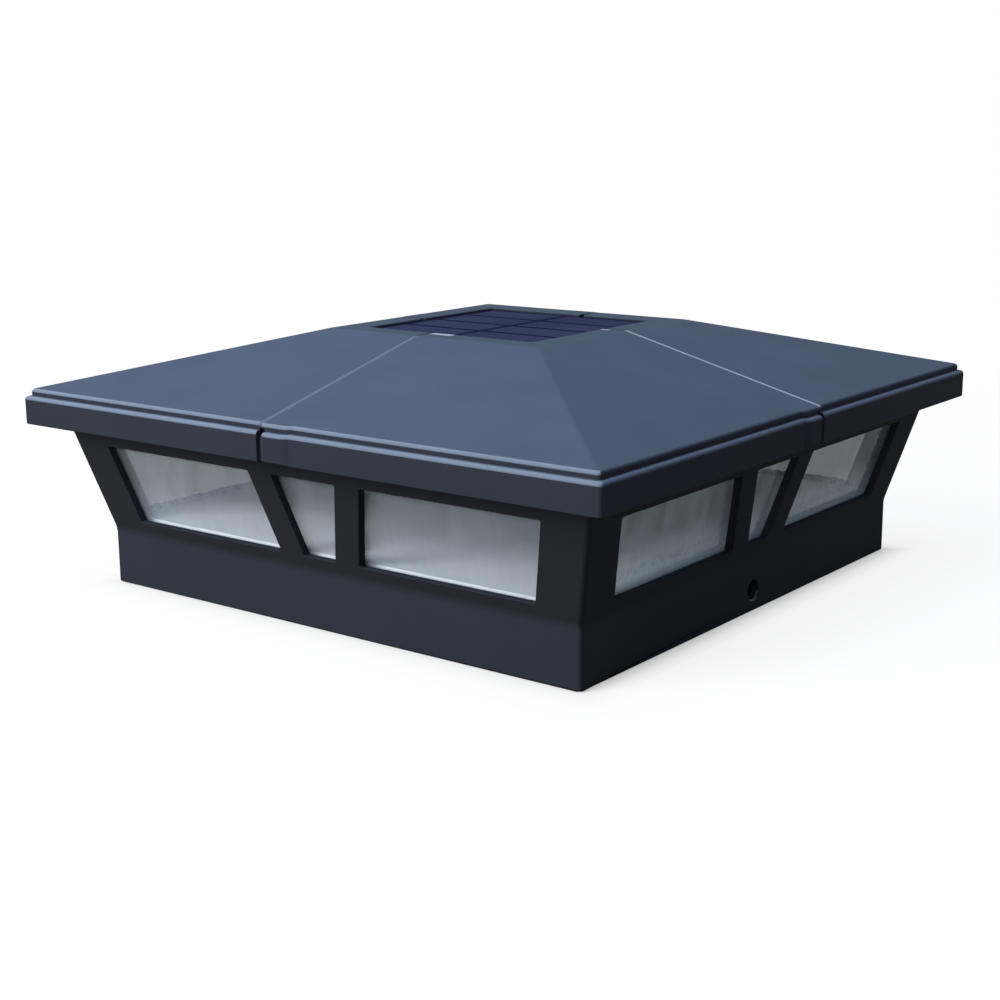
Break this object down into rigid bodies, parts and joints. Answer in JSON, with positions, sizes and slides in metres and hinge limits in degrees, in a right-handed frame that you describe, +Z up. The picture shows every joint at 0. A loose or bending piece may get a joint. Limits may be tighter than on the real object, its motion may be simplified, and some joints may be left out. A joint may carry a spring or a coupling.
{
  "type": "deck post cap light",
  "caption": "Square solar cap light for a deck post: hipped metal roof in lapped corner pieces over a flared lantern body with glazed openings and a plain skirt.",
  "frame": {"origin": "middle of the bottom edge of the skirt, on the centre line of the post", "axes": "+Z up along the post; -Y and +X are the two sides seen in the picture, left and right of the front corner; the screw holes are in the +X and -X sides"},
  "size_m": [0.1806, 0.1806, 0.0662],
  "materials": {
    "charcoal_coat": "satin",
    "slate_coat": "satin",
    "pane_glass": "clear",
    "sealant": "matte",
    "reflector_white": "satin",
    "black_plastic": "matte",
    "screw_steel": "brushed",
    "gasket_foam": "matte",
    "panel_backing": "matte",
    "solar_cell": "satin",
    "panel_cover": "clear",
    "board_green": "matte",
    "chip_black": "matte",
    "led_yellow": "gloss",
    "lens_frosted": "frosted",
    "switch_metal": "plain",
    "switch_knob": "matte",
    "cell_wrap": "gloss",
    "contact_nickel": "bright",
    "lead_insulation": "satin"
  },
  "bodies": {
    "base": {"lantern_body": "charcoal_coat", "window_pane_front_left": "pane_glass", "window_pane_front_right": "pane_glass", "window_pane_back_right": "pane_glass", "window_pane_back_left": "pane_glass", "pane_sealant": "sealant", "reflector_floor": "reflector_white"},
    "roof": {"roof_corner_front": "slate_coat", "roof_corner_right": "slate_coat", "roof_corner_back": "slate_coat", "roof_corner_left": "slate_coat", "eave_frame": "charcoal_coat", "eave_screws": "screw_steel", "module_housing": "black_plastic", "module_screws": "screw_steel", "panel_gasket": "gasket_foam", "solar_backing": "panel_backing", "solar_cells": "solar_cell", "solar_cover": "panel_cover", "module_base": "black_plastic", "base_screws": "screw_steel", "circuit_board": "board_green", "board_screws": "screw_steel", "board_components": "chip_black", "leds": "led_yellow", "led_lens": "lens_frosted", "switch_case": "switch_metal", "battery_cell": "cell_wrap", "battery_plate": "contact_nickel", "battery_spring": "contact_nickel", "panel_leads": "lead_insulation", "battery_leads": "lead_insulation"},
    "door": {"battery_door": "black_plastic"},
    "switch": {"switch_slider": "switch_knob"}
  },
  "joints": [
    {"name": "roof_lift", "type": "slide", "parent": "base", "child": "roof", "axis": [0, 0, 1], "range_m": [0, 0.06]},
    {"name": "battery_door_hinge", "type": "hinge", "parent": "roof", "child": "door", "pos_m": [0, 0.02315, 0.0414], "axis": [1, 0, 0], "range_deg": [0, 90]},
    {"name": "light_switch", "type": "slide", "parent": "roof", "child": "switch", "axis": [0, 1, 0], "range_m": [0, 0.0025]}
  ]
}
